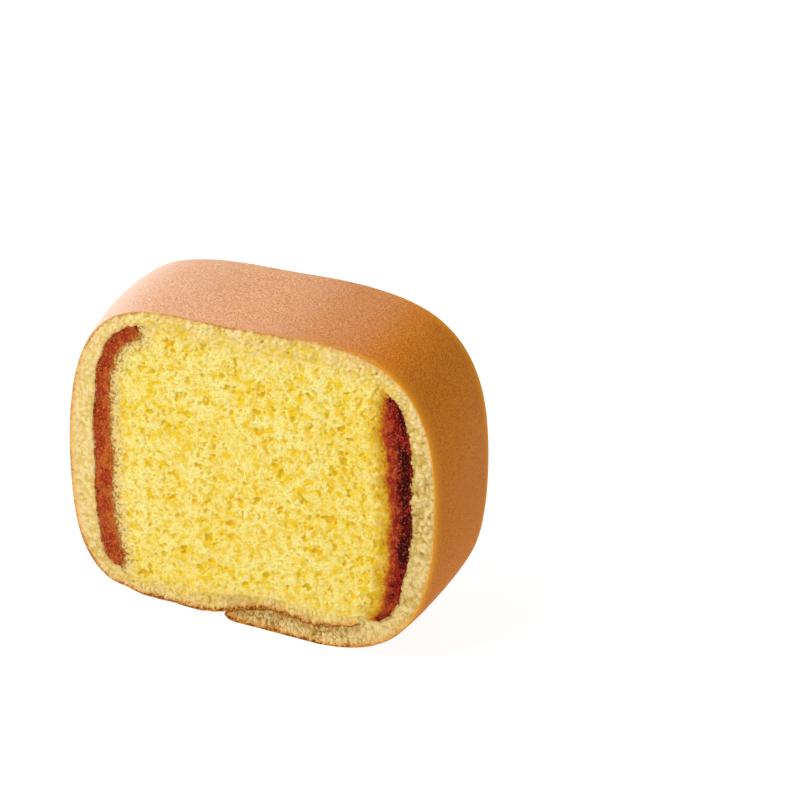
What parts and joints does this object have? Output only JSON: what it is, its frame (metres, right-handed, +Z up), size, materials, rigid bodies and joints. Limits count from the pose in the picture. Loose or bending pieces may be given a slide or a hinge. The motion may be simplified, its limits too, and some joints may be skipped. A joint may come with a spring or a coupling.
{
  "type": "castella",
  "caption": "Upright slice of yellow castella sponge wrapped in a browned skin that laps over itself underneath, with sweet bean paste down each side.",
  "frame": {"origin": "centre of the bounding box's underside, on the surface that the slice stands on", "axes": "+Z up as the slice stands; -Y out of the cut face that shows; +X to the right on that face"},
  "size_m": [0.063, 0.02, 0.0524],
  "materials": {
    "yellow_sponge": "matte open crumb",
    "browned_skin": "satin browned crust with a cream cut edge",
    "bean_paste": "moist grainy",
    "dark_bean_paste": "moist satin"
  },
  "bodies": {
    "root": {"sponge": "yellow_sponge", "wrapper": "browned_skin", "paste_left": "bean_paste", "paste_right": "dark_bean_paste"}
  },
  "joints": []
}
